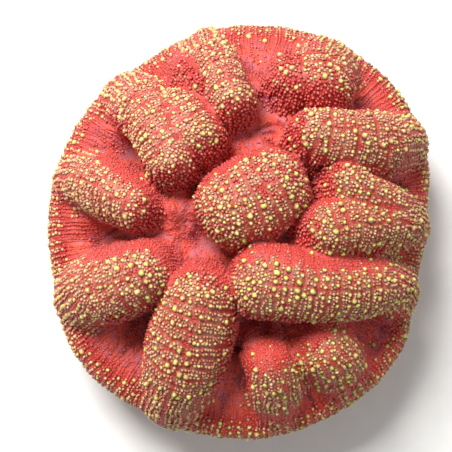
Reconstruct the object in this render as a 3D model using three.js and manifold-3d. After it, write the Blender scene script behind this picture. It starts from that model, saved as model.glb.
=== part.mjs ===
// Brain coral: one domed colony of folded lobes with valleys between them, cut off flat below the living rim.
// Millimetres, +Z up. The origin is the middle of the flat cut that the colony rests on.
import * as THREE from "three";
import { mergeVertices } from "three/addons/utils/BufferGeometryUtils.js";
import Module from "manifold-3d";

const wasm = await Module();
wasm.setup();

// Driving dimensions of the whole colony. It is widest at the rim, and the dome rounds off below it too.
const HEIGHT = 33;
const RIM_HEIGHT = 11;
const RIM_DROP = 8;
const DOME_POWER = 2.5;
const VALLEY_DEPTH = 9.5;
const VALLEY_POWER = 8;

// Rim radius every 20 degrees, anticlockwise from +X.
const RIM_STEP_DEG = 20;
const RIM_RADII = [
  31.2, 33.7, 35.2, 35.2, 34.4, 33.5, 31.9, 32.1, 31.9, 31.8, 32.2, 34.6, 34.6, 35.0, 35.2, 34.8, 34.2, 31.2,
];

// Outer wall below the rim, as share of the rim radius and height: it curls under to the bare foot.
const WALL = [[0.97, 8.6], [0.94, 6.8], [0.89, 5.4], [0.83, 4.4], [0.8, 3], [0.785, 1.5], [0.78, 0]];
const WALL_SEGMENTS = 90;
const RIM_SHARE = 0.99;
const FLOOR_RINGS = 14;
const MERGE_DISTANCE = 1e-3;

// A lobe's cross-section: from its crest down to its widest line, and from there to its root near the core.
const LOBE_CROWN = 6.5;
const LOBE_ROOT = 10;
const CORE = new THREE.Vector3(0, 0, 8);
const LOBE_SIDES = 16;
const LOBE_CAP_RINGS = 4;
const LOBE_RINGS = 8;

// Where a lobe's crest runs over the rim it ends on the outer wall: shares of the rim radius, and heights.
const OVER_RIM = [[0.95, 5], [1.02, RIM_HEIGHT]];

// Lobes, by where they lie on the colony: plan points of the crest, from the rim inwards where the lobe
// reaches it, half-widths evenly spaced along it, and how far the crest lies above the dome.
const LOBES = {
  north: {
    crest: [[-5, 27], [-2.5, 21.5], [0, 14.5]],
    halfWidth: [6, 4.8, 4.6, 3.8], overRim: true, lift: 0,
  },
  northShoulder: {
    crest: [[-9.4, 25.6], [-3.8, 20]],
    halfWidth: [7, 5.4, 4.2], overRim: true, lift: -1.4,
  },
  northWest: {
    crest: [[-17.5, 20.5], [-13, 13.5], [-9.4, 4.2]],
    halfWidth: [7, 5.8, 5.2, 4.6], overRim: true, lift: 0,
  },
  northWestInner: {
    crest: [[-15, 20.5], [-9, 14], [-4.8, 8]],
    halfWidth: [5, 5.6, 5.6], overRim: false, lift: -0.5,
  },
  west: {
    crest: [[-26, 6.5], [-18.5, 1.8], [-13.2, 0]],
    halfWidth: [9, 5.6, 5.2, 3.8], overRim: true, lift: -0.5,
  },
  southWest: {
    crest: [[-26, -11.5], [-18, -10], [-10.5, -7]],
    halfWidth: [9, 6.4, 6.2, 4.6], overRim: true, lift: 0,
  },
  south: {
    crest: [[-10.8, -28], [-7.5, -17], [-5, -7.5]],
    halfWidth: [6.6, 6.2, 6.8, 5.2], overRim: true, lift: 0,
  },
  southInner: {
    crest: [[6, -28.4], [3.6, -21]],
    halfWidth: [7.5, 5.2, 4.2], overRim: true, lift: -1,
  },
  southEast: {
    crest: [[16.4, -25], [11.2, -19.6]],
    halfWidth: [9, 6, 5], overRim: true, lift: -1,
  },
  eastLong: {
    crest: [[26, -10.8], [13, -11.7], [-2, -9.8]],
    halfWidth: [7, 5.2, 5.8, 6.4], overRim: true, lift: 0,
  },
  eastUpper: {
    crest: [[26.8, 0.8], [20.5, 2.4], [13.6, 6.8]],
    halfWidth: [5, 4.8, 4.6, 3.8], overRim: true, lift: -0.6,
  },
  eastLower: {
    crest: [[27, -1.2], [18, -2], [9, -3.5]],
    halfWidth: [7, 5.4, 5.4, 4.6], overRim: true, lift: 0,
  },
  northEast: {
    crest: [[26, 12.6], [17, 12], [7, 13]],
    halfWidth: [8, 5.8, 5.8, 4.4], overRim: true, lift: 0,
  },
  northTop: {
    crest: [[15, 27], [13, 18.5]],
    halfWidth: [9, 7, 5.4], overRim: true, lift: -0.5,
  },
  northTopShoulder: {
    crest: [[10.4, 27], [10, 19.5]],
    halfWidth: [7.5, 6.2, 4.8], overRim: true, lift: -2.2,
  },
  centre: {
    crest: [[-7, -1.8], [2, 2.2], [10.5, 7]],
    halfWidth: [5.8, 7.2, 6.2], overRim: false, lift: 0,
  },
};

// Pits where the valleys deepen, and rises, with a depth below zero: plan point, depth and spread.
const PITS = [
  { at: [-21, -3], depth: 3.5, spread: 3.6 },
  { at: [-14.5, -17], depth: 4, spread: 3.6 },
  { at: [1.5, -18], depth: 5, spread: 3.8 },
  { at: [11, -17], depth: 4, spread: 3.4 },
  { at: [20, -17.5], depth: 3.5, spread: 3.6 },
  { at: [19.5, 7.2], depth: 4.5, spread: 3.4 },
  { at: [-18, 10], depth: 3, spread: 3.2 },
  { at: [4.5, 18], depth: 2.5, spread: 3.4 },
  { at: [-10, 0.5], depth: -3.5, spread: 4 },
  { at: [3, 12.5], depth: -3, spread: 3.6 },
  { at: [7.5, -4.2], depth: -2.5, spread: 3 },
  { at: [12.5, 8.4], depth: -2.5, spread: 3 },
];

const rimAngles = Float32Array.from([...RIM_RADII, 0], (_, i) => THREE.MathUtils.degToRad(i * RIM_STEP_DEG));
const rimCurve = new THREE.CubicInterpolant(rimAngles, Float32Array.from([...RIM_RADII, RIM_RADII[0]]), 1);
rimCurve.settings = { endingStart: THREE.WrapAroundEnding, endingEnd: THREE.WrapAroundEnding };

function rimRadius(angle) {
  return rimCurve.evaluate(THREE.MathUtils.euclideanModulo(angle, 2 * Math.PI))[0];
}

// Share of the way from the middle to the rim of a plan point.
function rimShare(x, y) {
  return Math.hypot(x, y) / rimRadius(Math.atan2(y, x));
}

// Height of the dome that the lobes' crests follow.
function domeHeight(share) {
  return RIM_HEIGHT + (HEIGHT - RIM_HEIGHT) * Math.sqrt(1 - share ** DOME_POWER);
}

// Height of the valley floor between the lobes.
function floorHeight(share) {
  return domeHeight(share) - VALLEY_DEPTH * (1 - share ** VALLEY_POWER);
}

// 1 on the dome, less inside it and more outside.
function domeField({ x, y, z }) {
  const rise = (z - RIM_HEIGHT) / (z > RIM_HEIGHT ? HEIGHT - RIM_HEIGHT : RIM_DROP);
  return rimShare(x, y) ** DOME_POWER + rise * rise;
}

// Outward normal of the dome: the way in which its field grows fastest.
function domeNormal(point) {
  const step = 0.05;
  const slopes = ["x", "y", "z"].map((axis) => {
    const ahead = point.clone();
    const behind = point.clone();
    ahead[axis] += step;
    behind[axis] -= step;
    return domeField(ahead) - domeField(behind);
  });
  return new THREE.Vector3(...slopes).normalize();
}

function pitDepth(x, y) {
  return PITS.reduce((sum, { at, depth, spread }) => {
    const far = Math.hypot(x - at[0], y - at[1]) / spread;
    return sum + depth * Math.exp(-far * far);
  }, 0);
}

// Value at share t of the way along a list of evenly spaced values.
function along(values, t) {
  const place = t * (values.length - 1);
  const i = Math.min(Math.floor(place), values.length - 2);
  return THREE.MathUtils.lerp(values[i], values[i + 1], place - i);
}

function movePoints(geometry, move) {
  const position = geometry.getAttribute("position");
  const point = new THREE.Vector3();
  for (let i = 0; i < position.count; i++) {
    move(point.fromBufferAttribute(position, i));
    position.setXYZ(i, point.x, point.y, point.z);
  }
  return geometry;
}

// The colony's floor, outer wall and foot: a turned profile stretched out to the rim.
function baseGeometry() {
  const profile = WALL.map(([share, z]) => new THREE.Vector2(share, z)).reverse();
  profile.unshift(new THREE.Vector2(0, 0));
  for (let i = 0; i < FLOOR_RINGS; i++) {
    const share = Math.cos((i / FLOOR_RINGS) * (Math.PI / 2));
    profile.push(new THREE.Vector2(share * RIM_SHARE, floorHeight(share)));
  }
  profile.push(new THREE.Vector2(0, floorHeight(0)));
  const turned = new THREE.LatheGeometry(profile, WALL_SEGMENTS).rotateX(Math.PI / 2);
  return movePoints(turned, (point) => {
    const stretch = rimRadius(Math.atan2(point.y, point.x));
    point.x *= stretch;
    point.y *= stretch;
    if (point.z > RIM_HEIGHT) point.z -= pitDepth(point.x, point.y);
  });
}

// The crest of a lobe, on the dome and, where it reaches the rim, over it and down the outer wall.
function crestCurve({ crest, overRim }) {
  const points = crest.map(([x, y]) => new THREE.Vector3(x, y, domeHeight(rimShare(x, y))));
  if (overRim) {
    const angle = Math.atan2(points[0].y, points[0].x);
    const wall = OVER_RIM.map(([share, z]) => {
      const radius = share * rimRadius(angle);
      return new THREE.Vector3(radius * Math.cos(angle), radius * Math.sin(angle), z);
    });
    points.unshift(...wall);
  }
  return new THREE.CatmullRomCurve3(points);
}

// One lobe: a capsule bent along its crest, with its lower half sunk into the colony.
function lobeGeometry(lobe) {
  const { halfWidth, lift } = lobe;
  const curve = crestCurve(lobe);
  const radius = Math.min(...halfWidth);
  const halfLength = curve.getLength() / 2;
  const straight = 2 * (halfLength - radius);
  const capsule = new THREE.CapsuleGeometry(radius, straight, LOBE_CAP_RINGS, LOBE_SIDES, LOBE_RINGS);
  return movePoints(capsule, (point) => {
    const t = THREE.MathUtils.clamp((point.y + halfLength) / (2 * halfLength), 0, 1);
    const crest = curve.getPointAt(t);
    const up = domeNormal(crest);
    const across = new THREE.Vector3().crossVectors(curve.getTangentAt(t), up).normalize();
    const middle = crest.addScaledVector(up, lift - LOBE_CROWN);
    const inward = CORE.clone().sub(middle).normalize();
    const side = (point.x / radius) * along(halfWidth, t);
    const rise = point.z / radius;
    point.copy(middle).addScaledVector(across, side);
    if (rise > 0) point.addScaledVector(up, rise * LOBE_CROWN);
    else point.addScaledVector(inward, -rise * LOBE_ROOT);
  });
}

function solidOf(geometry) {
  geometry.deleteAttribute("normal");
  geometry.deleteAttribute("uv");
  const merged = mergeVertices(geometry, MERGE_DISTANCE);
  const vertProperties = merged.getAttribute("position").array;
  const triVerts = new Uint32Array(merged.index.array);
  return new wasm.Manifold(new wasm.Mesh({ numProp: 3, vertProperties, triVerts }));
}

function geometryOf(solid) {
  const { vertProperties, triVerts } = solid.getMesh();
  const geometry = new THREE.BufferGeometry();
  geometry.setAttribute("position", new THREE.BufferAttribute(vertProperties, 3));
  geometry.setIndex(new THREE.BufferAttribute(triVerts, 1));
  geometry.computeVertexNormals();
  return geometry;
}

const flesh = new THREE.MeshStandardMaterial({ color: 0xc8402f, roughness: 0.55, metalness: 0 });

const lobes = Object.values(LOBES).map((lobe) => solidOf(lobeGeometry(lobe)));
const colony = lobes.reduce((solid, lobe) => solid.add(lobe), solidOf(baseGeometry()));
const coral = new THREE.Mesh(geometryOf(colony), flesh);
coral.name = "coral";

const part = new THREE.Group();
part.add(coral);

export default part;
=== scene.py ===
# Brain coral: wet red flesh with rows of grains on folded lobes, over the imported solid.
import itertools
import math

import bpy
import numpy as np
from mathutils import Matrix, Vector, noise
from mathutils.bvhtree import BVHTree
from mathutils.kdtree import KDTree


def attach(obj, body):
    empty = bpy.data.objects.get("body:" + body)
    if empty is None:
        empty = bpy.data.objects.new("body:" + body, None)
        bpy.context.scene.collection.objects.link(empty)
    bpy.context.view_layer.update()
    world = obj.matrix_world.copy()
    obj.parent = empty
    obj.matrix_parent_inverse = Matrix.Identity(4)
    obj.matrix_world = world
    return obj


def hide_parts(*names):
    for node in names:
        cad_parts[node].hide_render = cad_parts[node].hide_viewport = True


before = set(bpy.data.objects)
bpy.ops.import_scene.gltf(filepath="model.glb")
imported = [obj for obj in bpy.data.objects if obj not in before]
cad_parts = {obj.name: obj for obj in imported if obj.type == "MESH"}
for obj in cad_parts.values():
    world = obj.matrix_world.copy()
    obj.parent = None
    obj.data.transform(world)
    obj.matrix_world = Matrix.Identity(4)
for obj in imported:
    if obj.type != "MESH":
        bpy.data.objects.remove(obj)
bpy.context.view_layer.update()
SEED = 7
chance = np.random.default_rng(SEED)
noise.seed_set(SEED)
MM = 0.001
TINY = 1e-9

# The colony's dome, in millimetres, as in the solid.
HEIGHT = 33.0
RIM_HEIGHT = 11.0
RIM_DROP = 8.0
DOME_POWER = 2.5
DOME_EDGE = 0.98
SLOPE_STEP = 0.05
RIM_RADII = np.array([
    31.2, 33.7, 35.2, 35.2, 34.4, 33.5, 31.9, 32.1, 31.9,
    31.8, 32.2, 34.6, 34.6, 35.0, 35.2, 34.8, 34.2, 31.2,
])

# The lobes as in the solid: crest from the rim inwards, half-widths along it, whether it runs over the rim
# and how far its crest lies above the dome.
LOBE_CROWN = 6.5
LOBE_ROOT = 10.0
OVER_RIM = ((0.95, 5.0), (1.02, RIM_HEIGHT))
LOBES = {
    "north": (((-5, 27), (-2.5, 21.5), (0, 14.5)), (6, 4.8, 4.6, 3.8), True, 0),
    "north_shoulder": (((-9.4, 25.6), (-3.8, 20)), (7, 5.4, 4.2), True, -1.4),
    "north_west": (((-17.5, 20.5), (-13, 13.5), (-9.4, 4.2)), (7, 5.8, 5.2, 4.6), True, 0),
    "north_west_inner": (((-15, 20.5), (-9, 14), (-4.8, 8)), (5, 5.6, 5.6), False, -0.5),
    "west": (((-26, 6.5), (-18.5, 1.8), (-13.2, 0)), (9, 5.6, 5.2, 3.8), True, -0.5),
    "south_west": (((-26, -11.5), (-18, -10), (-10.5, -7)), (9, 6.4, 6.2, 4.6), True, 0),
    "south": (((-10.8, -28), (-7.5, -17), (-5, -7.5)), (6.6, 6.2, 6.8, 5.2), True, 0),
    "south_inner": (((6, -28.4), (3.6, -21)), (7.5, 5.2, 4.2), True, -1),
    "south_east": (((16.4, -25), (11.2, -19.6)), (9, 6, 5), True, -1),
    "east_long": (((26, -10.8), (13, -11.7), (-2, -9.8)), (7, 5.2, 5.8, 6.4), True, 0),
    "east_upper": (((26.8, 0.8), (20.5, 2.4), (13.6, 6.8)), (5, 4.8, 4.6, 3.8), True, -0.6),
    "east_lower": (((27, -1.2), (18, -2), (9, -3.5)), (7, 5.4, 5.4, 4.6), True, 0),
    "north_east": (((26, 12.6), (17, 12), (7, 13)), (8, 5.8, 5.8, 4.4), True, 0),
    "north_top": (((15, 27), (13, 18.5)), (9, 7, 5.4), True, -0.5),
    "north_top_shoulder": (((10.4, 27), (10, 19.5)), (7.5, 6.2, 4.8), True, -2.2),
    "centre": (((-7, -1.8), (2, 2.2), (10.5, 7)), (5.8, 7.2, 6.2), False, 0),
}
LINE_STEP = 0.25
SPAN_SAMPLES = 40

# How many bright and pale grains a lobe has, against 1 for most lobes; and the length of a lobe's inner end
# that has hardly any.
LOBE_GLOW = {
    "north_shoulder": 0.15, "north_top_shoulder": 0.3, "north_top": 0.8, "east_long": 1.4,
    "south_inner": 1.6, "south_east": 1.6, "centre": 0.8,
}
DULL_GLOW = 0.08
DULL_END = 3.2
DULL_ENDS = {
    "centre": 0.1, "east_long": 0.8, "south_inner": 5.5, "south_east": 3.6, "north_top": 4.5, "south": 4.2,
}

# Mouths in the valley floors: plan point, radius and depth. A shallow one has little colour of its own.
DEEP_MOUTH = 0.7
MOUTHS = (
    (-5.3, -3.7, 2.2, 1.0), (-8.0, -1.4, 1.6, 0.4), (4.7, 18.2, 1.9, 0.8), (4.0, 23.5, 1.6, 0.4),
    (2.2, 12.6, 1.6, 0.3), (-17.7, 11.6, 1.8, 0.9), (11.8, 7.2, 1.6, 0.3), (6.3, -3.6, 1.7, 0.5),
    (-21.7, -3.0, 1.5, 0.2), (-15.3, -16.0, 1.6, 0.1), (-1.0, -20.0, 1.7, 0.1), (24.0, -16.6, 1.5, 0.1),
)

# The flesh's surface: fineness, softening, depth under the grains' tips, folds, and swelling under the rows.
SKIN_VOXEL = 0.42
SOFTEN_PASSES = 4
SOFTEN_SHARE = 0.6
SKIN_INSET = 0.45
CREASE_DEPTH = 0.5
LUMP_SIZE = 4.0
LUMP_HEIGHT = 0.25
STREAK_TURN = 3.5
STREAK_STRETCH = 0.25
STREAK_HEIGHT = 0.5
STREAK_START = 0.1
CUT_MARGIN = 0.5
SWELL = 0.28
SWELL_REACH = 0.5

# Each kind of smooth noise has its own number, and is shifted by that many of these steps.
NOISE_SHIFT = (17.3, 5.1, 2.7)
LUMP_NOISE = 1
STREAK_NOISE = 2
GLOW_NOISE = 3
RIDGE_NOISE = 6

# Where one kind of place passes into the next: by share of the way from the middle to the rim;
INSIDE_SPAN = (0.86, 0.97)
MIDDLE_SPAN = (0.6, 0.72)
EDGE_SPAN = (0.9, 1.0)
# by a lobe's field, 1 on its own surface, or the gap between the fields of two lobes;
ON_LOBE = 1.08
CREASE_SPAN = (1.0, 1.14)
OFF_LOBE_SPAN = (1.03, 1.16)
MEET_SPAN = (0.0, 0.2)
# by nearness to a lobe's crest, 1 on it, or the way to its end, 1 where its dull end stops;
FLANK_SPAN = (0.3, 0.7)
CREST_SPAN = (0.35, 0.8)
LIVELY_SPAN = (0.5, 1.2)
# and by depth below the dome or height above the cut.
VALLEY_SPAN = (6.2, 8.6)
POCKET_SPAN = (10.4, 13.0)
MOUTH_SPAN = (4.5, 7.0)
FOOT_SPAN = (3.4, 5.2)
EDGE_HEIGHT_SPAN = (6.0, 9.0)

# Flanks that face this way are smooth, with hardly a grain on them, up to a place short of the crest.
BARE_WAY = np.array([0.22, 0.94, 0.26])
BARE_FACING_SPAN = (0.1, 0.45)
BARE_TOP_SPAN = (-0.15, 0.04)
BARE_TOP = 0.74
BARE_TOPS = {"east_long": 0.95, "south_west": 0.86, "west": 0.84, "south_inner": 0.86, "south_east": 0.76}

# Colours turn olive and lime towards the south-east: share of that in the middle, and the width of the turn.
EAST_MIDDLE = 0.45
EAST_WIDTH = 110

# Rows of grains across the lobes, or up from the rim on a few of them. All rows and ridges wander a little.
SWAY = 0.55
SWAY_SIZE = 3.2
RAY_LIMIT = 2 * LOBE_ROOT
REACH_SLACK = 1.3
SHORTEST_TRAIL = 4
ROW_PITCH = 0.47
ROW_ANGLES = np.radians(np.arange(1.5, 122, 2.5))
ROWS_SHARE = 0.82
ROWS_OVERLAP = 0.02
RADIAL_LOBES = ("south_inner", "south_east")
RADIAL_SHARE = 0.5

# Ridges round the rim: their number, where they run, their profile across and how they vary.
RIM_RIDGES = 260
RIM_JITTER = 0.4
RIM_ANGLES = np.radians(np.arange(-62, 112, 2.5))
RIM_CENTRE_SHARE = 0.62
RIM_CENTRE_HEIGHT = 9.0
RIM_SHARE = 0.79
FAN_SHARE = 0.66
FAN_DEPTH = 3.0
RIDGE_PROFILE = ((-1, None), (-0.62, 0.7), (0, 1), (0.62, 0.7), (1, None))
RIDGE_SINK = 0.25
RIDGE_STEP = 0.7
RIDGE_WIDTH = 0.3
RIDGE_HEIGHT = 0.24
RIDGE_SHADE = 0.9
RIDGE_END = 0.12
WIDTH_WOBBLE = (0.8, 1.15)
WIDTH_SPREAD = (0.8, 1.2)
HEIGHT_WOBBLE = (0.6, 1.2)
HEIGHT_SPREAD = (0.5, 1.2)
FAN_RIDGE = 0.65
FAN_SWING = 0.5
FAN_PATCH = 4.0
FULL_RIDGE_SPAN = (0.74, 0.92)

# Rows come in bands: a row of large grains, two of small ones and a furrow. By rank, from the furrow up:
# pitch and radius of the grains, share of bright ones, and of bright and pale ones together.
ROW_RANKS = (2, 1, 1, 0)
RANK_PITCH = np.array([0.48, 0.49, 0.6])
RANK_RADIUS = np.array([0.18, 0.185, 0.22])
RANK_BRIGHT = np.array([0.0, 0.08, 0.44])
RANK_PALE = np.array([0.0, 0.9, 1.0])
BRIGHT_SPACING = 0.95

# Sizes of grains in millimetres, heights against the radius, and what flanks and bare places change.
RADIUS_SPREAD = 0.07
FLANK_RADIUS = 0.05
BARE_RADIUS = -0.04
BRIGHT_RADIUS = 0.29
BRIGHT_SPREAD = 0.2
BRIGHT_RISE = 0.85
GRAIN_RISE = 0.95
FLANK_RISE = 0.3
BARE_RISE = -0.4
RISE_SPREAD = (0.75, 1.2)
FINE_RADIUS = 0.15
FINE_RISE = 0.8
FINE_CANDIDATES = 42000

# How pale a grain is, from red to cream, and how far a grain on bare flesh has the flesh's own colour.
PALE_FROM = 0.35
PALE_LIMIT = 0.3
PALE_POWER = 5
RED_PALENESS = 0.2
FINE_PALENESS = 0.15
PLAIN_SHARE = 0.85

# Where grains sit: their scatter, how close they stand, and where they glow or are left out.
SEAT_SHIFT = 0.25
SEAT_PROBE = 0.1
LOBE_SCATTER = 0.07
RIM_SCATTER = 0.1
SIZE_SHUFFLE = 0.04
CLOSENESS = 0.8
FINE_CLOSENESS = 0.85
GRAIN_FOOT = 5.4
GLOW_PATCH = 2.6
GLOW_SWING = 0.35
GLOW_SPAN = (0.12, 0.72)
BARE_DULLS = 0.95
SWELL_SEAT = 0.8
FURROW_GLOW = (0.1, 0.5)
RIM_GLOW_SPAN = (0.05, 0.7)
RIM_LOBE_SPAN = (1.05, 1.2)
EDGE_GLOW = 1.5
EDGE_GLOW_SPAN = (0.86, 0.96)
EDGE_GLOW_SWING = 0.02
EDGE_GLOW_HEIGHTS = (6.5, 9.5)
FAN_GLOW_SPAN = (0.0, 0.5)
FAN_GAPS = 0.6
RIDGE_SEAT = 0.5
VALLEY_GAPS = 0.7

# A grain's form: shares of radius and height from its sunk base to its tip, its sides, and how it varies.
LARGE_PROFILE = ((1.3, -0.5), (1.05, 0.2), (0.62, 0.66))
SMALL_PROFILE = ((1.3, -0.4), (0.78, 0.5))
SIDES = {"bright": 9, "pale": 7, "red": 6, "rim": 6, "fine": 5}
GRAIN_TILT = 0.18
GRAIN_RAGGED = (0.65, 1.25)
TIP_LEAN = 0.25
TINT_SPREAD = 0.35
STEEP = 0.9

# Haze close to pale grains, and painted shade in the furrows between the rows, by distance to the nearest
# grain.
HAZE_PALE_SPAN = (0.05, 0.5)
HAZE_REACH_SPAN = (0.3, 0.6)
FURROW_SHADE_SPAN = (0.3, 0.55)
FURROW_SHADE_END_SPAN = (1.0, 2.0)
# Painted shade over the fans' flesh between the rim's ridges, by share of the way to the rim.
FAN_SHADE = 0.7
FAN_SHADE_SPAN = (0.72, 0.82)

# The flat map of each piece: columns and margin of the ridges' strips, and places in a grain's cell.
BAKE_MAP = "OFBake"
STRIP_COLUMNS = 8
STRIP_MARGIN = 0.06
STRIP_BULGE = 0.04
CELL_REACH = (0.44, 0.2)
CELL_BASE = 0.07
CELL_BASE_REACH = 0.05


# Small helpers

def unit(vectors):
    return vectors / np.maximum(np.linalg.norm(vectors, axis=-1, keepdims=True), TINY)


def dot(a, b):
    return np.sum(a * b, axis=-1)


def ease(low, high, value):
    """0 below low, 1 above high, and a smooth rise between them."""
    t = np.clip((value - low) / (high - low), 0, 1)
    return t * t * (3 - 2 * t)


def interpolated(places, known, rows):
    """Rows of three numbers, known at some places on a line, at other places on it."""
    return np.stack([np.interp(places, known, rows[:, k]) for k in range(3)], axis=1)


def patches(points, size, number):
    """Smooth noise between about -1 and 1, in patches of the given size."""
    shift = Vector([number * step for step in NOISE_SHIFT])
    return np.array([noise.noise(Vector(point) / size + shift) for point in points])


def mouth_streaks(points):
    """Smooth noise drawn out along the ways from each place to the nearest mouth."""
    away = points[:, None, :2] - np.array(MOUTHS)[None, :, :2]
    far = np.linalg.norm(away, axis=2)
    column = np.arange(len(points))
    near = np.argmin(far, axis=1)
    far = far[column, near]
    way = away[column, near] / np.maximum(far, STREAK_START)[:, None]
    return patches(np.column_stack([STREAK_TURN * way, STREAK_STRETCH * far]), 1.0, STREAK_NOISE)


def eastness(points):
    """Rises from about 0 in the north-west to about 1 in the south-east."""
    return EAST_MIDDLE + (points[:, 0] - points[:, 1]) / EAST_WIDTH


def swayed(tree, points):
    """Places on the flesh and their normals, near these points but shifted in smooth patches."""
    found = []
    for point in map(Vector, points):
        place, normal, _, _ = tree.find_nearest(point + SWAY * noise.noise_vector(point / SWAY_SIZE))
        found.append((*place, *normal))
    return np.array(found)


def through(a, b, c, d, t):
    """Catmull-Rom curve from b to c."""
    return b + 0.5 * t * (c - a + t * (2 * a - 5 * b + 4 * c - d + t * (3 * (b - c) + d - a)))


def rim_radius(angle):
    place = np.mod(angle, 2 * np.pi) / (2 * np.pi) * len(RIM_RADII)
    before = np.floor(place).astype(int)
    corners = [np.take(RIM_RADII, before + k, mode="wrap") for k in (-1, 0, 1, 2)]
    return through(*corners, place - before)


def rim_share(points):
    """Share of the way from the middle to the rim."""
    x, y = points[..., 0], points[..., 1]
    return np.hypot(x, y) / rim_radius(np.arctan2(y, x))


def dome_height(share):
    return RIM_HEIGHT + (HEIGHT - RIM_HEIGHT) * np.sqrt(np.clip(1 - share ** DOME_POWER, 0, 1))


def dome_field(points):
    rise = points[..., 2] - RIM_HEIGHT
    rise = np.where(rise > 0, rise / (HEIGHT - RIM_HEIGHT), rise / RIM_DROP)
    return rim_share(points) ** DOME_POWER + rise ** 2


def dome_normal(points):
    steps = SLOPE_STEP * np.eye(3)
    slopes = [dome_field(points + step) - dome_field(points - step) for step in steps]
    return unit(np.stack(slopes, axis=-1))


def even_line(knots):
    """Points LINE_STEP apart on a smooth line through a few knots."""
    knots = np.array([2 * knots[0] - knots[1], *knots, 2 * knots[-1] - knots[-2]])
    t = np.linspace(0, 1, SPAN_SAMPLES)[:, None]
    spans = [through(*knots[i:i + 4], t) for i in range(len(knots) - 3)]
    line = np.concatenate(spans)
    length = np.append(0, np.cumsum(np.linalg.norm(np.diff(line, axis=0), axis=1)))
    even = np.linspace(0, length[-1], int(length[-1] / LINE_STEP) + 1)
    return interpolated(even, length, line)


# Lobes and the places on them

class Lobe:
    """A lobe's middle line with its own up, across and along directions."""

    def __init__(self, name, crest, half_width, over_rim, lift):
        self.radial = name in RADIAL_LOBES
        self.glow = LOBE_GLOW.get(name, 1.0)
        self.dull_end = DULL_ENDS.get(name, DULL_END)
        self.bare_top = BARE_TOPS.get(name, BARE_TOP)
        plan = np.array(crest, float)
        knots = np.column_stack([plan, dome_height(rim_share(plan))])
        if over_rim:
            angle = math.atan2(plan[0, 1], plan[0, 0])
            radius = rim_radius(np.array(angle))
            wall = [(s * radius * math.cos(angle), s * radius * math.sin(angle), z) for s, z in OVER_RIM]
            knots = np.vstack([wall, knots])
        line = even_line(knots)
        t = np.linspace(0, 1, len(line))
        self.over_rim = over_rim
        self.cap = min(half_width)
        self.share = rim_share(line)
        self.up = dome_normal(line)
        self.along = unit(np.gradient(line, axis=0))
        self.across = unit(np.cross(self.along, self.up))
        self.middle = line + self.up * (lift - LOBE_CROWN)
        self.half_width = np.interp(t, np.linspace(0, 1, len(half_width)), half_width)
        ends = round(self.cap / LINE_STEP)
        self.first = ends
        self.last = len(line) - 1 - ends

    def field(self, points):
        """1 on the lobe's own surface and less inside; then 1 at its crest; then the way to its end."""
        core = slice(self.first, self.last + 1)
        middle = self.middle[core]
        far = dot(middle, middle)[None, :] - 2 * points @ middle.T
        near = np.argmin(far, axis=1)
        offset = points - middle[near]
        rise = dot(offset, self.up[core][near])
        rise = rise / np.where(rise > 0, LOBE_CROWN, LOBE_ROOT)
        side = dot(offset, self.across[core][near]) / self.half_width[core][near]
        ahead = dot(offset, self.along[core][near]) / self.cap
        field = np.sqrt(rise ** 2 + side ** 2 + ahead ** 2)
        to_end = (len(middle) - 1 - near) * LINE_STEP + self.cap * (1 - ahead)
        return field, rise / np.maximum(field, TINY), to_end


lobes = [Lobe(name, *row) for name, row in LOBES.items()]


class Places:
    """Where points of the flesh lie: on which lobe, how near its crest, a valley, a mouth or the foot."""

    PAINTED = ("valley", "pocket_shade", "crease", "mouth", "foot", "edge", "bare", "east", "streak")

    def __init__(self, points, normals):
        fields, tops, ends = (np.array(rows) for rows in zip(*(lobe.field(points) for lobe in lobes)))
        self.owner = np.argmin(fields, axis=0)
        column = np.arange(len(points))
        self.field = fields[self.owner, column]
        self.top = tops[self.owner, column]
        lively = ease(*LIVELY_SPAN, ends[self.owner, column] / self.of_lobe("dull_end"))
        self.glow = self.of_lobe("glow") * (DULL_GLOW + (1 - DULL_GLOW) * lively)
        self.share = rim_share(points)
        self.depth = dome_height(np.minimum(self.share, DOME_EDGE)) - points[:, 2]
        inside = 1 - ease(*INSIDE_SPAN, self.share)
        second = np.partition(fields, 1, axis=0)[1]
        meet = 1 - ease(*MEET_SPAN, second - self.field)
        low = 1 - ease(*FLANK_SPAN, self.top)
        # Creases between lobes: they fold the flesh in, and their colour takes painted shade.
        self.crease = meet * inside * low * (1 - ease(*CREASE_SPAN, self.field))
        off_lobes = ease(*OFF_LOBE_SPAN, self.field) * (1 - ease(*MIDDLE_SPAN, self.share))
        self.valley = np.maximum(ease(*VALLEY_SPAN, self.depth), off_lobes) * inside
        # Deep pockets in the valleys: used only for painted shade in the colour.
        self.pocket_shade = ease(*POCKET_SPAN, self.depth) * inside
        self.crest = ease(*CREST_SPAN, self.top)
        below_top = 1 - ease(*BARE_TOP_SPAN, self.top - self.of_lobe("bare_top"))
        self.bare = ease(*BARE_FACING_SPAN, normals @ BARE_WAY) * below_top * inside
        self.foot = 1 - ease(*FOOT_SPAN, points[:, 2])
        self.edge = ease(*EDGE_SPAN, self.share) * ease(*EDGE_HEIGHT_SPAN, points[:, 2])
        self.east = np.clip(eastness(points), 0, 1)
        self.streak = mouth_streaks(points)
        self.mouth = np.zeros(len(points))
        self.pit = np.zeros(len(points))
        for x, y, radius, depth in MOUTHS:
            close = np.exp(-((points[:, 0] - x) ** 2 + (points[:, 1] - y) ** 2) / radius ** 2)
            close = close * ease(*MOUTH_SPAN, self.depth)
            self.mouth = np.maximum(self.mouth, close * min(1.0, depth / DEEP_MOUTH))
            self.pit = np.maximum(self.pit, close * depth)

    def of_lobe(self, key):
        """A value of the lobe that each point lies on."""
        return np.array([getattr(lobe, key) for lobe in lobes])[self.owner]

    def attributes(self):
        return {name: getattr(self, name) for name in self.PAINTED}


# Meshes

def add_object(name, data):
    thing = bpy.data.objects.new(name, data)
    bpy.context.scene.collection.objects.link(thing)
    return thing


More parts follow.
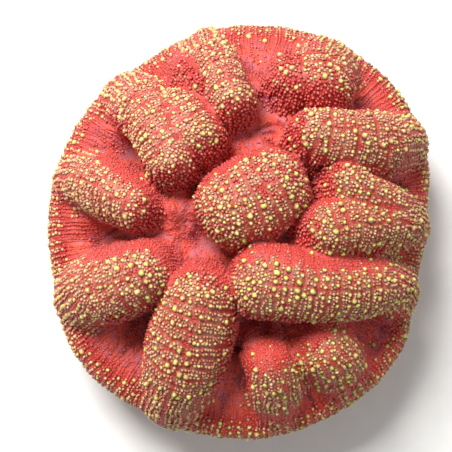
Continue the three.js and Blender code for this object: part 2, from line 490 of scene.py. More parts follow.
def remeshed_solid():
    rough = add_object("rough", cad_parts["coral"].data.copy())
    remesh = rough.modifiers.new("Remesh", "REMESH")
    remesh.mode = "VOXEL"
    remesh.voxel_size = SKIN_VOXEL * MM
    evaluated = rough.evaluated_get(bpy.context.evaluated_depsgraph_get())
    mesh = bpy.data.meshes.new_from_object(evaluated)
    bpy.data.objects.remove(rough)
    return mesh


def softened(points, edges, hold):
    """Points eased towards the mean of their neighbours, less where hold is near 1."""
    ends = np.concatenate([edges, edges[:, ::-1]])
    count = np.bincount(ends[:, 0], minlength=len(points))[:, None]
    for _ in range(SOFTEN_PASSES):
        sums = [np.bincount(ends[:, 0], points[ends[:, 1], k], len(points)) for k in range(3)]
        mean = np.stack(sums, axis=1) / count
        points = points + SOFTEN_SHARE * (1 - hold) * (mean - points)
    return points


def read(collection, key, width, kind):
    values = np.empty(len(collection) * width, kind)
    collection.foreach_get(key, values)
    return values.reshape(-1, width)


def move_points(mesh, points):
    """Puts a mesh's points where these are, in millimetres."""
    mesh.vertices.foreach_set("co", (points * MM).astype(np.float32).ravel())


def normals_of(mesh, points):
    move_points(mesh, points)
    mesh.update()
    return read(mesh.vertex_normals, "vector", 3, np.float32).astype(float)


class Flesh:
    """Points, faces, normals and places of the flesh: the solid's surface, softened, folded and drawn in."""

    def __init__(self):
        mesh = remeshed_solid()
        points = read(mesh.vertices, "co", 3, np.float32).astype(float) / MM
        edges = read(mesh.edges, "vertices", 2, np.int32)
        on_cut = (points[:, 2] < CUT_MARGIN).astype(float)[:, None]
        points = softened(points, edges, on_cut)
        normals = normals_of(mesh, points)
        places = Places(points, normals)
        above_cut = ease(CUT_MARGIN, 3 * CUT_MARGIN, points[:, 2])
        lumps = LUMP_HEIGHT * patches(points, LUMP_SIZE, LUMP_NOISE) - SKIN_INSET
        lumps = lumps + STREAK_HEIGHT * places.valley * places.streak
        folds = CREASE_DEPTH * places.crease + places.pit
        points = points + normals * ((lumps - folds) * above_cut)[:, None]
        points[:, 2] = np.where(on_cut[:, 0] > 0, 0, points[:, 2])
        self.points = points
        self.faces = read(mesh.loops, "vertex_index", 1, np.int32).reshape(-1, 4)
        self.normals = normals_of(mesh, points)
        self.places = Places(points, self.normals)


def make_piece(name, points, faces, material, attributes, corners=None):
    """A piece of the object from points in millimetres, faces of one size and one value per point."""
    mesh = bpy.data.meshes.new(name)
    mesh.vertices.add(len(points))
    move_points(mesh, points)
    mesh.loops.add(faces.size)
    mesh.loops.foreach_set("vertex_index", faces.astype(np.int32).ravel())
    mesh.polygons.add(len(faces))
    mesh.polygons.foreach_set("loop_start", np.arange(0, faces.size, faces.shape[1], dtype=np.int32))
    mesh.update(calc_edges=True)
    mesh.shade_smooth()
    for key, values in attributes.items():
        layer = mesh.attributes.new(key, "FLOAT", "POINT")
        layer.data.foreach_set("value", np.asarray(values, np.float32))
    if corners is not None:
        layer = mesh.uv_layers.new(name=BAKE_MAP)
        layer.data.foreach_set("uv", corners.astype(np.float32).ravel())
    mesh.materials.append(material)
    piece = add_object(name, mesh)
    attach(piece, "root")
    return piece


# Rows across the lobes and round the rim, traced on the flesh

class Trail:
    """A line of points on the flesh, with the normals there and the rank of the row."""

    def __init__(self, points, normals, rank):
        self.points = points
        self.normals = normals
        self.rank = rank
        steps = np.linalg.norm(np.diff(points, axis=0), axis=1)
        self.run = np.append(0, np.cumsum(steps))

    def at(self, run):
        return interpolated(run, self.run, self.points), unit(interpolated(run, self.run, self.normals))


def cast(tree, centre, up, aside, angles):
    """Where rays that fan out from a centre inside the colony leave it; points and normals, NaN for none."""
    found = np.full((len(angles), 6), np.nan)
    for i, angle in enumerate(angles):
        way = Vector(up * math.cos(angle) + aside * math.sin(angle))
        point, normal, _, _ = tree.ray_cast(Vector(centre), way, RAY_LIMIT)
        if point is not None:
            found[i] = (*point, *normal)
    return found


def places_of(found):
    """Places of points and normals that rays found."""
    return Places(np.nan_to_num(found[:, :3]), np.nan_to_num(found[:, 3:]))


def lobe_row_starts():
    """Each row's lobe, centre, up, aside, reach and rank: rows on both sides, fans round the ends."""
    for number, lobe in enumerate(lobes):
        if lobe.radial:
            continue
        first = lobe.first
        if lobe.over_rim:
            first = int(np.argmax(lobe.share < ROWS_SHARE))
        count = max(2, round((lobe.last - first) * LINE_STEP / ROW_PITCH))
        for place, rank in zip(np.linspace(first, lobe.last, count), itertools.cycle(ROW_RANKS)):
            at = int(round(place))
            for side in (1, -1):
                yield number, lobe.middle[at], lobe.up[at], side * lobe.across[at], lobe.half_width[at], rank
        ends = [(lobe.last, 1)] if lobe.over_rim else [(lobe.last, 1), (lobe.first, -1)]
        for at, way in ends:
            width = lobe.half_width[at]
            turns = max(3, round(math.pi * width / ROW_PITCH))
            for turn, rank in zip(np.linspace(0, math.pi, turns + 2)[1:-1], itertools.cycle(ROW_RANKS)):
                aside = lobe.across[at] * math.cos(turn) + way * lobe.along[at] * math.sin(turn)
                reach = 1 / math.hypot(math.cos(turn) / width, math.sin(turn) / lobe.cap)
                yield number, lobe.middle[at], lobe.up[at], aside, reach, rank


def longest_run(good):
    """First index of the longest stretch of true values, and the index after its last."""
    edges = np.flatnonzero(np.diff(np.concatenate([[0], good.astype(int), [0]])))
    starts, stops = edges[::2], edges[1::2]
    if len(starts) == 0:
        return 0, 0
    best = int(np.argmax(stops - starts))
    return starts[best], stops[best]


def usable_trails(tree, found, good, rank):
    """A list of one trail, the longest good stretch, or of none where that is too short."""
    start, stop = longest_run(good)
    if stop - start < SHORTEST_TRAIL:
        return []
    found = swayed(tree, found[start:stop, :3])
    return [Trail(found[:, :3], found[:, 3:], rank)]


def lobe_trails(tree):
    """Lines down both sides of the lobes and round their ends."""
    starts = list(lobe_row_starts())
    found = [cast(tree, *row[1:4], ROW_ANGLES) for row in starts]
    places = places_of(np.concatenate(found))
    trails = []
    for i, (number, centre, _, _, reach, rank) in enumerate(starts):
        part = slice(i * len(ROW_ANGLES), (i + 1) * len(ROW_ANGLES))
        expected = 1 / np.hypot(np.cos(ROW_ANGLES) / LOBE_CROWN, np.sin(ROW_ANGLES) / reach)
        distance = np.linalg.norm(found[i][:, :3] - centre, axis=1)
        good = (places.owner[part] == number) & (distance < REACH_SLACK * expected)
        good &= (places.field[part] < ON_LOBE) & (places.share[part] < ROWS_SHARE + ROWS_OVERLAP)
        trails += usable_trails(tree, found[i], good, rank)
    return trails


def rim_trails(tree):
    """Radial lines from the foot over the rim, into the fans and up the lobes with radial rows."""
    trails = []
    up = np.array([0.0, 0.0, 1.0])
    turns = np.arange(RIM_RIDGES) + chance.uniform(-RIM_JITTER, RIM_JITTER, RIM_RIDGES)
    for number, angle in enumerate(turns * 2 * np.pi / RIM_RIDGES):
        out = np.array([math.cos(angle), math.sin(angle), 0.0])
        centre = out * RIM_CENTRE_SHARE * rim_radius(np.array(angle)) + up * RIM_CENTRE_HEIGHT
        found = cast(tree, centre, out, up, RIM_ANGLES)
        places = places_of(found)
        good = np.isfinite(found[:, 0]) & (found[:, 2] > CUT_MARGIN)
        above_rim = found[:, 2] > RIM_HEIGHT
        inner_end = np.where(places.depth > FAN_DEPTH, FAN_SHARE, RIM_SHARE)
        inner_end = np.where(places.of_lobe("radial") & (places.field < ON_LOBE), RADIAL_SHARE, inner_end)
        good &= ~above_rim | (places.share > inner_end)
        trails += usable_trails(tree, found, good, 1 + number % 2)
    return trails


# Ridges

def strip(points, normals, width, height):
    """A closed low ridge along a line, sunk a little into the flesh."""
    along = unit(np.gradient(points, axis=0))
    lateral = unit(np.cross(along, normals))
    rings = []
    for across, rise in RIDGE_PROFILE:
        lift = np.full(len(points), -RIDGE_SINK) if rise is None else rise * height
        rings.append(points + lateral * (across * width)[:, None] + normals * lift[:, None])
    return np.stack(rings, axis=1)


def strip_faces(length):
    """Triangles of a strip and their corners on its flat map, 0 to 1 along and across."""
    sides = len(RIDGE_PROFILE)
    faces, corners = [], []
    for i in range(length - 1):
        for j in range(sides):
            a, b, c, d = (i, j), (i + 1, j), (i + 1, j + 1), (i, j + 1)
            for triangle in ((a, b, c), (a, c, d)):
                faces.append([along * sides + across % sides for along, across in triangle])
                corners.append([(along / (length - 1), across / sides) for along, across in triangle])
    for i, order in ((0, 1), (length - 1, -1)):
        for j in range(1, sides - 1):
            cap = (0, j, j + 1)[::order]
            faces.append([i * sides + k for k in cap])
            bulge = [STRIP_BULGE * math.sin(math.pi * k / (sides - 1)) for k in cap]
            corners.append([(-b if i == 0 else 1 + b, k / sides) for b, k in zip(bulge, cap)])
    return np.array(faces), np.array(corners)


def ridge_height(points):
    """Height of the rim's ridges: full at the edge, lower and patchy in the fans."""
    in_fans = FAN_RIDGE + FAN_SWING * patches(points, FAN_PATCH, RIDGE_NOISE)
    return RIDGE_HEIGHT * np.maximum(in_fans, ease(*FULL_RIDGE_SPAN, rim_share(points)))


def ridges(name, trails, material, cover):
    """All the ridges of a set of trails as one piece, each with its own strip on the map."""
    sides = len(RIDGE_PROFILE)
    strip_rows = math.ceil(len(trails) / STRIP_COLUMNS)
    made = {}
    parts = []
    total = 0
    for number, trail in enumerate(trails):
        count = max(SHORTEST_TRAIL, round(trail.run[-1] / RIDGE_STEP))
        points, normals = trail.at(np.linspace(0, trail.run[-1], count))
        if count not in made:
            made[count] = strip_faces(count)
        faces, corners = made[count]
        taper = np.sin(np.linspace(RIDGE_END, math.pi - RIDGE_END, count)) ** 0.5
        width = RIDGE_WIDTH * taper * (chance.uniform(*WIDTH_WOBBLE, count) * chance.uniform(*WIDTH_SPREAD))
        height = ridge_height(points) * taper * chance.uniform(*HEIGHT_WOBBLE, count)
        height = height * chance.uniform(*HEIGHT_SPREAD)
        points = strip(points, normals, width, height).reshape(-1, 3)
        shades = chance.uniform(0, RIDGE_SHADE, count)
        cell = (number % STRIP_COLUMNS, number // STRIP_COLUMNS)
        corners = (STRIP_MARGIN + (1 - 2 * STRIP_MARGIN) * corners + cell) / (STRIP_COLUMNS, strip_rows)
        normals = np.repeat(normals, sides, axis=0)
        parts.append((points, normals, np.repeat(shades, sides), faces + total, corners))
        total += count * sides
    points, normals, shades, faces, corners = (np.concatenate(rows) for rows in zip(*parts))
    places = Places(points, normals)
    # The ridges' random dark mottle goes in the same attribute as the flesh's painted furrow shade.
    attributes = places.attributes() | {"gap_shade_and_mottle": shades, "haze": cover.haze(points, places.crest)}
    return make_piece(name, points, faces, material, attributes, corners)


# Grains

class Room:
    """Keeps grains from growing into each other."""

    CELL = 1.0
    AROUND = list(itertools.product((-1, 0, 1), repeat=3))

    def __init__(self):
        self.cells = {}

    def take(self, points, radii, closeness):
        """Which of these grains find room, in the order given; closeness 1 lets them just touch."""
        kept = np.zeros(len(points), bool)
        for i, (x, y, z, radius) in enumerate(np.column_stack([points, radii]).tolist()):
            home = (int(x // self.CELL), int(y // self.CELL), int(z // self.CELL))
            free = True
            for a, b, c in self.AROUND:
                for px, py, pz, other in self.cells.get((home[0] + a, home[1] + b, home[2] + c), ()):
                    apart = closeness * (radius + other)
                    if (x - px) ** 2 + (y - py) ** 2 + (z - pz) ** 2 < apart * apart:
                        free = False
            if free:
                kept[i] = True
                self.cells.setdefault(home, []).append((x, y, z, radius))
        return kept


class Grains:
    """Seats, normals, sizes, colouring values and row ranks of a set of grains."""

    KEYS = ("points", "normals", "radius", "height", "bright", "cream", "plain", "rank")

    def __init__(self, *values):
        for key, value in zip(self.KEYS, values):
            setattr(self, key, np.broadcast_to(value, (len(values[0]), *np.shape(value)[1:])))

    def picked(self, mask):
        return Grains(*(getattr(self, key)[mask] for key in self.KEYS))

    def with_room(self, room, closeness):
        return self.picked(room.take(self.points, self.radius, closeness))


def grain_faces(sides, rings):
    """Triangles of one grain, its tip last, and their corners on a cell of the map."""
    turn = np.arange(sides + 1) * 2 * np.pi / sides
    reach = [*np.linspace(*CELL_REACH, rings), 0.0]

    def around(middle, far, k):
        return middle + far * np.cos(turn[k]), middle + far * np.sin(turn[k])

    triangles = []
    for k in range(sides):
        for ring in range(rings - 1):
            triangles.append([(ring, k), (ring, k + 1), (ring + 1, k + 1)])
            triangles.append([(ring, k), (ring + 1, k + 1), (ring + 1, k)])
        triangles.append([(rings - 1, k), (rings - 1, k + 1), (rings, 0)])
    faces = [[ring * sides + k % sides for ring, k in triangle] for triangle in triangles]
    corners = [[around(0.5, reach[ring], k) for ring, k in triangle] for triangle in triangles]
    for k in range(1, sides - 1):
        base = (0, k + 1, k)
        faces.append(base)
        corners.append([around(CELL_BASE, CELL_BASE_REACH, i) for i in base])
    return np.array(faces), np.array(corners)


def grain_piece(kind, grains, profile, material):
    """Every grain of a kind as one piece of small closed bells, each with its own cell on the map."""
    sides = SIDES[kind]
    count = len(grains.radius)
    up = unit(grains.normals + chance.normal(0, GRAIN_TILT, grains.normals.shape))
    spin = chance.uniform(0, 2 * np.pi, count)
    aside = unit(np.cross(up, np.where(np.abs(up[:, 2:]) < STEEP, (0.0, 0.0, 1.0), (1.0, 0.0, 0.0))))
    ahead = np.cross(up, aside)
    layers = []
    for share, rise in profile:
        for k in range(sides):
            turn = spin + 2 * np.pi * k / sides
            ring = aside * np.cos(turn)[:, None] + ahead * np.sin(turn)[:, None]
            reach = share * grains.radius * chance.uniform(*GRAIN_RAGGED, count)
            layers.append(grains.points + ring * reach[:, None] + up * (rise * grains.height)[:, None])
    lean = TIP_LEAN * grains.radius[:, None] * chance.normal(0, 1, up.shape)
    layers.append(grains.points + up * grains.height[:, None] + lean)
    points = np.stack(layers, axis=1)
    each = points.shape[1]
    faces, corners = grain_faces(sides, len(profile))
    all_faces = (faces[None] + (np.arange(count) * each)[:, None, None]).reshape(-1, 3)
    columns = math.ceil(math.sqrt(count))
    cells = np.stack([np.arange(count) % columns, np.arange(count) // columns], axis=1)
    all_corners = (corners[None] + cells[:, None, None]) / columns
    tint = np.clip(eastness(grains.points) + chance.uniform(-TINT_SPREAD, TINT_SPREAD, count), 0, 1)
    values = {"bright": grains.bright, "cream": grains.cream, "plain": grains.plain, "tint": tint}
    attributes = {key: np.repeat(value, each) for key, value in values.items()}
    rises = [max(rise, 0) for _, rise in profile for _ in range(sides)] + [1.0]
    attributes["tip"] = np.tile(rises, count)
    return make_piece(kind + "_grains", points.reshape(-1, 3), all_faces, material, attributes, all_corners)


def seats_along(trails, scatter):
    """Seats along every trail, scattered a little sideways: points, normals, ranks, places and patches."""
    found = []
    for trail in trails:
        pitch = RANK_PITCH[trail.rank]
        count = int(trail.run[-1] / pitch)
        run = (np.arange(count) + 0.5 + chance.uniform(-SEAT_SHIFT, SEAT_SHIFT, count)) * pitch
        points, normals = trail.at(run)
        ahead, _ = trail.at(run + SEAT_PROBE)
        behind, _ = trail.at(run - SEAT_PROBE)
        lateral = unit(np.cross(ahead - behind, normals))
        points = points + lateral * chance.normal(0, scatter, count)[:, None]
        found.append((points, normals, np.full(count, trail.rank)))
    points, normals, rank = (np.concatenate(rows) for rows in zip(*found))
    return points, normals, rank, Places(points, normals), patches(points, GLOW_PATCH, GLOW_NOISE)


def coloured_grains(keep, points, normals, rank, glow, bare, room):
    """Grains on the seats kept, the largest first: bright and pale where glow is near 1, else red."""
    points, normals, rank, glow, bare = (values[keep] for values in (points, normals, rank, glow, bare))
    count = len(points)
    draw = chance.uniform(0, 1, count)
    size = chance.uniform(0, 1, count)
    bright = draw < glow * RANK_BRIGHT[rank]
    bright[bright] = Room().take(points[bright], np.full(bright.sum(), BRIGHT_SPACING / 2), 1.0)
    pale = ~bright & (draw < glow * RANK_PALE[rank])
    flank = (1 - np.clip(glow, 0, 1)) * (1 - bare)
    radius = RANK_RADIUS[rank] + RADIUS_SPREAD * size + FLANK_RADIUS * flank + BARE_RADIUS * bare
    radius = np.where(bright, BRIGHT_RADIUS + BRIGHT_SPREAD * size ** 2, radius)
    height = radius * np.where(bright, BRIGHT_RISE, GRAIN_RISE + FLANK_RISE * flank + BARE_RISE * bare)
    height = height * chance.uniform(*RISE_SPREAD, count)
    # For red grains, a little paleness that gives their tips the painted highlight.
    cream = np.where(pale, PALE_FROM + (1 - PALE_FROM) * size ** PALE_POWER, RED_PALENESS * size)
    plain = PLAIN_SHARE * bare * ~(bright | pale)
    grains = Grains(points, normals, radius, height, bright.astype(float), cream, plain, rank)
    largest_first = np.argsort(-radius - chance.uniform(0, SIZE_SHUFFLE, count))
    return grains.picked(largest_first).with_room(room, CLOSENESS)


def lobe_grains(trails, room):
    """Grains in rows across the lobes, bright and pale on the crests and red down the flanks."""
    points, normals, rank, places, patchy = seats_along(trails, LOBE_SCATTER)
    glow = ease(*GLOW_SPAN, places.top + GLOW_SWING * patchy)
    glow = glow * (1 - BARE_DULLS * places.bare) * places.glow
    lift = SWELL_SEAT * SWELL * np.minimum(rank, 1)
    seats = points + normals * lift[:, None]
    keep = (rank > 0) | (glow < chance.uniform(*FURROW_GLOW, len(glow)))
    return coloured_grains(keep, seats, normals, rank, glow, places.bare, room)


def rim_grains(trails, room):
    """Grains on the rim's ridges: many on the crests and along the edge, few and small in the fans."""
    points, normals, rank, places, patchy = seats_along(trails, RIM_SCATTER)
    on_crest = ease(*RIM_GLOW_SPAN, places.top + GLOW_SWING * patchy)
    on_crest = on_crest * (1 - ease(*RIM_LOBE_SPAN, places.field)) * places.glow
    at_edge = EDGE_GLOW * ease(*EDGE_GLOW_SPAN, places.share + EDGE_GLOW_SWING * patchy)
    at_edge = at_edge * ease(*EDGE_GLOW_HEIGHTS, points[:, 2])
    glow = np.maximum(on_crest, at_edge)
    fan = 1 - ease(*FAN_GLOW_SPAN, glow)
    keep = (points[:, 2] > GRAIN_FOOT) & (chance.uniform(0, 1, len(points)) > FAN_GAPS * fan)
    seats = points + normals * (RIDGE_SEAT * ridge_height(points))[:, None]
    smooth = np.maximum(places.bare, fan)
    return coloured_grains(keep, seats, normals, rank, glow, smooth, room)


def fine_grains(flesh, room):
    """Tiny grains wherever the flesh is still smooth, few in the valleys."""
    order = chance.permutation(len(flesh.faces))[:FINE_CANDIDATES]
    corners = flesh.faces[order]
    points = flesh.points[corners].mean(axis=1)
    normals = unit(flesh.normals[corners].mean(axis=1))
    gaps = np.maximum(VALLEY_GAPS * flesh.places.valley, flesh.places.mouth)[corners].mean(axis=1)
    size = chance.uniform(0, 1, len(points))
    keep = (points[:, 2] > GRAIN_FOOT) & (chance.uniform(0, 1, len(points)) > gaps)
    radius = FINE_RADIUS + RADIUS_SPREAD * size
    grains = Grains(points, normals, radius, FINE_RISE * radius, 0.0, FINE_PALENESS * size, PLAIN_SHARE, 0)
    return grains.picked(keep).with_room(room, FINE_CLOSENESS)


class Cover:
    """Finds the grains round any place: how far off the nearest is, and how pale the ones about it are."""

    AROUND = 3

    def __init__(self, *sets):
        self.pale = np.concatenate([np.maximum(grains.bright, grains.cream) for grains in sets])
        self.tree = KDTree(len(self.pale))
        for number, point in enumerate(np.concatenate([grains.points for grains in sets])):
            self.tree.insert(point, number)
        self.tree.balance()

    def at(self, points):
        found = [self.tree.find_n(point, self.AROUND) for point in points]
        nearest = np.array([rows[0][2] for rows in found])
        numbers = np.array([[number for _, number, _ in rows] for rows in found])
        return nearest, self.pale[numbers].mean(axis=1)

    def haze(self, points, crest):
        """Share of haze at these points: full close to pale grains on a crest."""
        nearest, paleness = self.at(points)
        return ease(*HAZE_PALE_SPAN, paleness) * (1 - ease(*HAZE_REACH_SPAN, nearest)) * crest


def flesh_piece(flesh, bands, cover, material):
    """The flesh, swollen under the bands of grains, with painted shade in the furrows between them and haze
    round pale grains.
    """
    nearest, _ = Cover(bands).at(flesh.points)
    swell = SWELL * np.exp(-(nearest / SWELL_REACH) ** 2)
    far = ease(*FURROW_SHADE_END_SPAN, nearest)
    gap_shade_and_mottle = ease(*FURROW_SHADE_SPAN, nearest) * (1 - far)
    # Painted shade over the fans' flesh, between the rim's ridges.
    gap_shade_and_mottle = np.maximum(gap_shade_and_mottle, FAN_SHADE * ease(*FAN_SHADE_SPAN, flesh.places.share) * far)
    haze = cover.haze(flesh.points, flesh.places.crest)
    attributes = flesh.places.attributes() | {"gap_shade_and_mottle": gap_shade_and_mottle, "haze": haze}
    points = flesh.points + flesh.normals * swell[:, None]
    return make_piece("flesh", points, flesh.faces, material, attributes)


# Materials

def srgb(red, green, blue):
    """Colour from 0 to 255 screen values."""
    values = [channel / 255 for channel in (red, green, blue)]
    linear = [v / 12.92 if v <= 0.04045 else ((v + 0.055) / 1.055) ** 2.4 for v in values]
    return (*linear, 1.0)


RED = srgb(206, 46, 38)
RED_PINK = srgb(220, 80, 64)
RED_ORANGE = srgb(214, 58, 30)
# Deep red of the fine specks and the ridges' mottle, and painted shade in the furrows and the valleys'
# grooves.
DEEP_RED_AND_SHADE = srgb(122, 14, 12)
# Pink of smooth flesh and plain grains; on the north-facing bare flanks it is partly painted light.
BARE_PINK = srgb(216, 74, 64)
BARE_RED = srgb(212, 58, 42)
BARE_GREY = srgb(180, 86, 82)
ORANGE = srgb(224, 86, 60)
PURPLE = srgb(178, 100, 116)
# Painted shade for the creases and the deep pockets.
CREASE_SHADE = srgb(60, 4, 6)
# Deep red at the grains' feet: partly the flesh's own deep red, partly painted shade between grains.
GRAIN_BASE_RED_AND_SHADE = srgb(160, 26, 24)
GRAIN_RED = srgb(206, 58, 46)
# Painted highlight on the tips of the larger red grains.
GRAIN_TIP_HIGHLIGHT = srgb(214, 118, 108)
HAZE = srgb(198, 134, 112)
HAZE_OLIVE = srgb(138, 106, 78)
BUFF = srgb(226, 182, 136)
BUFF_OLIVE = srgb(186, 148, 96)
YELLOW = srgb(252, 236, 138)
LIME = srgb(206, 232, 96)
CREAM = srgb(244, 222, 168)
MOUTH_GREY = srgb(152, 84, 100)
STONE = srgb(206, 194, 172)
STONE_DARK = srgb(150, 132, 112)
FLOOR_PALE = srgb(226, 224, 220)
FLOOR_LIGHT = srgb(232, 230, 226)

# All of the surfaces: the coat's gloss, and how light spreads below them, in millimetres and by colour.
COAT_ROUGHNESS = 0.25
SOFT_REACH = 0.6
SOFT_COLOUR = (1.0, 0.25, 0.15)


class Shader:
    """A material's node tree, with short calls for the nodes used here."""

    MIX_A = 6
    MIX_B = 7
    MIX_RESULT = 2

    def __init__(self, name):
        self.material = bpy.data.materials.new(name)
        self.material.use_nodes = True
        self.tree = self.material.node_tree
        self.surface = self.tree.nodes["Principled BSDF"]
        self.place = self.tree.nodes.new("ShaderNodeTexCoord").outputs["Object"]

    def link(self, value, socket):
        if isinstance(value, bpy.types.NodeSocket):
            self.tree.links.new(value, socket)
        else:
            socket.default_value = value

    def node(self, kind, inputs, output, **settings):
        node = self.tree.nodes.new("ShaderNode" + kind)
        for key, value in settings.items():
            setattr(node, key, value)
        for key, value in inputs.items():
            self.link(value, node.inputs[key])
        return node.outputs[output]

    def attribute(self, name):
        return self.node("Attribute", {}, "Fac", attribute_name=name)

    def noise(self, size_mm, detail, roughness=0.55):
        inputs = {"Vector": self.place, "Scale": 1 / (size_mm * MM), "Detail": detail, "Roughness": roughness}
        return self.node("TexNoise", inputs, "Fac")

    def cells(self, size_mm):
        return self.node("TexVoronoi", {"Vector": self.place, "Scale": 1 / (size_mm * MM)}, "Distance")

    def between(self, value, low, high, to_low=0.0, to_high=1.0):
        """Runs evenly from to_low, where value is low, to to_high, where it is high."""
        inputs = {"Value": value, "From Min": low, "From Max": high, "To Min": to_low, "To Max": to_high}
        return self.node("MapRange", inputs, "Result")

    def patchy(self, size_mm, detail, low, high, to_low=0.0, to_high=1.0):
        """Noise in patches of this size, with its values from low to high spread out."""
        return self.between(self.noise(size_mm, detail), low, high, to_low, to_high)

    def math(self, operation, a, b):
        return self.node("Math", {0: a, 1: b}, "Value", operation=operation)

    def mix(self, factor, a, b):
        inputs = {"Factor": factor, self.MIX_A: a, self.MIX_B: b}
        return self.node("Mix", inputs, self.MIX_RESULT, data_type="RGBA")

    def finish(self, colour, roughness, height, relief_mm, coat=0.0, softness=0.0):
        bumps = self.node("Bump", {"Distance": relief_mm * MM, "Height": height}, "Normal")
        inputs = {
            "Base Color": colour, "Roughness": roughness, "Normal": bumps,
            "Coat Weight": coat, "Coat Roughness": COAT_ROUGHNESS, "Subsurface Weight": softness,
            "Subsurface Radius": SOFT_COLOUR, "Subsurface Scale": SOFT_REACH * MM,
        }
        for key, value in inputs.items():
            self.link(value, self.surface.inputs[key])
        return self.material


def stone_colour(shader):
    """Bare limestone of the foot, with pores and stains."""
    stains = shader.mix(shader.patchy(3.0, 4, 0.35, 0.65), STONE_DARK, STONE)
    pores = shader.between(shader.cells(0.7), 0.05, 0.3)
    return shader.mix(pores, STONE_DARK, stains)


def skin_colour(shader, bare, east):
    """Red with pink blotches, more orange in the south-east; plainer on bare flanks, and pinker there, partly
    their own smooth flesh and partly painted light on these north-facing, lit flanks.
    """
    warm = shader.between(east, 0.4, 0.8)
    colour = shader.mix(shader.patchy(5.0, 3, 0.35, 0.65), RED, RED_PINK)
    colour = shader.mix(warm, colour, RED_ORANGE)
    # Smooth flanks: pinker, partly their own flesh and partly painted light on the north-facing side.
    smooth = shader.mix(warm, BARE_PINK, BARE_RED)
    specks = shader.patchy(0.7, 3, 0.48, 0.7, 0.0, 0.7)
    return shader.mix(bare, colour, shader.mix(specks, smooth, BARE_GREY))


def with_specks_and_gap_shade(shader, colour, speckle, grained):
    """Deep red specks, painted shade in the flesh's furrows between grains and ridges, and random dark mottle
    on the ridges, all strongest among the grains.
    """
    for dark, least in ((speckle, 0.2), (shader.attribute("gap_shade_and_mottle"), 0.1)):
        strength = shader.math("MULTIPLY", dark, shader.between(grained, 0.0, 1.0, least, 0.4))
        colour = shader.mix(strength, colour, DEEP_RED_AND_SHADE)
    return colour


def with_haze(shader, colour, east):
    """Patchy haze between pale grains, brown to olive, and along the colony's edge."""
    olive = shader.patchy(1.5, 3, 0.3, 0.7, -0.35, 0.35)
    mist = shader.mix(shader.math("ADD", east, olive), HAZE, HAZE_OLIVE)
    misty = shader.between(shader.attribute("haze"), 0.05, 0.7, 0.0, 0.9)
    thin = shader.patchy(1.2, 3, 0.38, 0.58, 0.2, 1.0)
    colour = shader.mix(shader.math("MULTIPLY", misty, thin), colour, mist)
    edge = shader.patchy(1.1, 2, 0.4, 0.75)
    return shader.mix(shader.math("MULTIPLY", shader.attribute("edge"), edge), colour, HAZE)


def with_valleys(shader, colour, valley, streak):
    """Orange, pink and lilac valleys with painted shade in the low streaks of their wrinkles, grey mouths,
    and painted shade in creases and pockets.
    """
    bed = shader.mix(shader.patchy(2.2, 4, 0.35, 0.6), ORANGE, RED_PINK)
    bed = shader.mix(shader.patchy(1.9, 4, 0.46, 0.66, 0.0, 0.85), bed, PURPLE)
    # Painted shade where the streaks run low, in the grooves of the valleys' wrinkles.
    bed = shader.mix(shader.between(streak, -0.05, -0.4, 0.0, 0.7), bed, DEEP_RED_AND_SHADE)
    colour = shader.mix(valley, colour, bed)
    mouth = shader.math("MULTIPLY", shader.attribute("mouth"), shader.between(streak, -0.3, 0.2, 0.3, 0.8))
    colour = shader.mix(mouth, colour, MOUTH_GREY)
    # Painted shade in the creases and the deep pockets.
    crease = shader.between(shader.attribute("crease"), 0.4, 1.0, 0.0, 0.8)
    pocket_shade = shader.between(shader.attribute("pocket_shade"), 0.0, 1.0, 0.0, 0.3)
    return shader.mix(shader.math("MAXIMUM", crease, pocket_shade), colour, CREASE_SHADE)


def flesh_material():
    """Wet red flesh: hazy between pale grains, with painted shade in the gaps and creases, stone at the foot.
    """
    shader = Shader("flesh")
    fine = shader.noise(0.5, 3, 0.65)
    speckle = shader.between(shader.cells(0.42), 0.15, 0.5)
    bare = shader.attribute("bare")
    valley = shader.attribute("valley")
    east = shader.attribute("east")
    grained = shader.math("SUBTRACT", 1.0, shader.math("MAXIMUM", bare, valley))
    colour = skin_colour(shader, bare, east)
    colour = with_specks_and_gap_shade(shader, colour, speckle, grained)
    colour = with_haze(shader, colour, east)
    colour = with_valleys(shader, colour, valley, shader.attribute("streak"))
    colour = shader.mix(shader.attribute("foot"), colour, stone_colour(shader))
    wrinkles = shader.math("MULTIPLY", valley, shader.noise(0.9, 4, 0.6))
    relief = shader.math("SUBTRACT", fine, shader.math("MULTIPLY", speckle, 0.5))
    relief = shader.math("ADD", relief, shader.math("MULTIPLY", wrinkles, 4.0))
    roughness = shader.between(fine, 0.3, 0.7, 0.5, 0.64)
    return shader.finish(colour, roughness, relief, relief_mm=0.14, coat=0.04, softness=0.1)


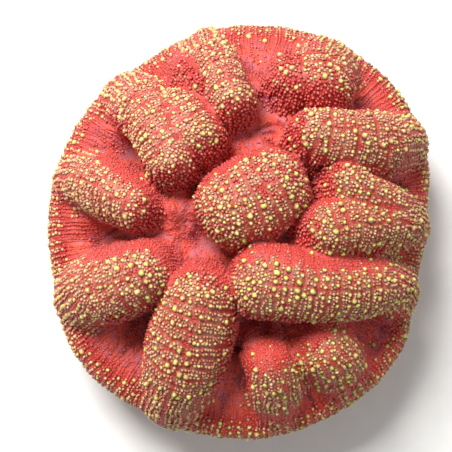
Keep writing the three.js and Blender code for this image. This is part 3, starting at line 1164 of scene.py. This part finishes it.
def grain_material():
    """Grains: deep red, partly painted shade, or hazy at the base, with red, pale or yellow-green tips and a
    painted highlight on the larger red ones.
    """
    shader = Shader("grain_flesh")
    tint = shader.attribute("tint")
    paleness = shader.attribute("cream")
    is_bright = shader.attribute("bright")
    fine = shader.noise(0.3, 2)
    # Red tips, pinker on the larger grains as a painted highlight.
    red = shader.mix(shader.between(paleness, 0.0, RED_PALENESS), GRAIN_RED, GRAIN_TIP_HIGHLIGHT)
    pale = shader.mix(shader.between(paleness, PALE_FROM, 0.9), shader.mix(tint, BUFF, BUFF_OLIVE), CREAM)
    tip = shader.mix(shader.between(paleness, 0.25, PALE_FROM), red, pale)
    tip = shader.mix(is_bright, tip, shader.mix(tint, YELLOW, LIME))
    glowing = shader.math("MAXIMUM", paleness, is_bright)
    mist = shader.mix(tint, HAZE, HAZE_OLIVE)
    # Each grain's foot: deep red with painted shade, hazy under pale and bright grains.
    base = shader.mix(shader.between(glowing, 0.2, 0.5, 0.0, 0.6), GRAIN_BASE_RED_AND_SHADE, mist)
    colour = shader.mix(shader.between(shader.attribute("tip"), 0.15, 0.95), base, tip)
    smooth = shader.mix(shader.between(paleness, 0.0, RED_PALENESS), BARE_PINK, BARE_GREY)
    colour = shader.mix(shader.attribute("plain"), colour, smooth)
    roughness = shader.between(fine, 0.3, 0.7, 0.42, 0.54)
    return shader.finish(colour, roughness, fine, relief_mm=0.04, coat=0.08, softness=0.1)


def floor_material():
    shader = Shader("pale_floor")
    speckle = shader.noise(6.0, 4)
    colour = shader.mix(shader.between(speckle, 0.3, 0.7), FLOOR_PALE, FLOOR_LIGHT)
    return shader.finish(colour, 0.7, speckle, relief_mm=0.05)


# Camera, lights and floor, in millimetres: a light has a place, a size and its watts

CAMERA_TILT = math.radians(6.5)
CAMERA_AIM = (-2.1, 1.04, 0.0)
CAMERA_BACK = 156.0
CAMERA_LENS = 70
CAMERA_SENSOR = 36
LIGHTS = {"key": ((-115, 195, 305), 150, 2.4), "fill": ((220, -160, 260), 320, 0.3)}
SKY_COLOUR = (0.95, 0.97, 1.0, 1.0)
SKY_STRENGTH = 0.28
FLOOR_REACH = 600


def make_camera():
    data = bpy.data.cameras.new("camera")
    data.lens = CAMERA_LENS
    data.sensor_width = CAMERA_SENSOR
    camera = add_object("camera", data)
    back = np.array([0, -math.sin(CAMERA_TILT), math.cos(CAMERA_TILT)])
    camera.location = Vector((np.array(CAMERA_AIM) + CAMERA_BACK * back) * MM)
    camera.rotation_euler = (CAMERA_TILT, 0, 0)
    bpy.context.scene.camera = camera


def make_light(name, place_mm, size_mm, watts):
    data = bpy.data.lights.new(name, "AREA")
    data.size = size_mm * MM
    data.energy = watts
    light = add_object(name, data)
    light.location = Vector(place_mm) * MM
    light.rotation_euler = (-light.location).to_track_quat("-Z", "Y").to_euler()


def make_floor():
    mesh = bpy.data.meshes.new("floor")
    reach = FLOOR_REACH * MM
    corners = [(-reach, -reach, 0), (reach, -reach, 0), (reach, reach, 0), (-reach, reach, 0)]
    mesh.from_pydata(corners, [], [(0, 1, 2, 3)])
    mesh.materials.append(floor_material())
    floor = add_object("floor", mesh)


def make_sky():
    world = bpy.data.worlds.new("studio")
    world.use_nodes = True
    background = world.node_tree.nodes["Background"]
    background.inputs["Color"].default_value = SKY_COLOUR
    background.inputs["Strength"].default_value = SKY_STRENGTH
    bpy.context.scene.world = world
    bpy.context.scene.view_settings.view_transform = "Standard"


make_camera()
make_floor()
for name, row in LIGHTS.items():
    make_light(name, *row)
make_sky()

# The object

surface = Flesh()
tree = BVHTree.FromPolygons(surface.points.tolist(), surface.faces.tolist())
skin = flesh_material()
grain_skin = grain_material()

rows = lobe_trails(tree)
rim_rows = rim_trails(tree)
room = Room()
on_lobes = lobe_grains(rows, room)
on_rim = rim_grains(rim_rows, room)
is_bright = on_lobes.bright > 0
is_pale = ~is_bright & (on_lobes.cream > PALE_LIMIT)
on_bands = on_lobes.picked(on_lobes.rank > 0)
cover = Cover(on_bands, on_rim)

ridges("rim_ridges", rim_rows, skin, cover)
grain_piece("bright", on_lobes.picked(is_bright), LARGE_PROFILE, grain_skin)
grain_piece("pale", on_lobes.picked(is_pale), SMALL_PROFILE, grain_skin)
grain_piece("red", on_lobes.picked(~is_bright & ~is_pale), SMALL_PROFILE, grain_skin)
grain_piece("rim", on_rim, SMALL_PROFILE, grain_skin)
grain_piece("fine", fine_grains(surface, room), SMALL_PROFILE, grain_skin)
flesh = flesh_piece(surface, on_bands, cover, skin)
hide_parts("coral")
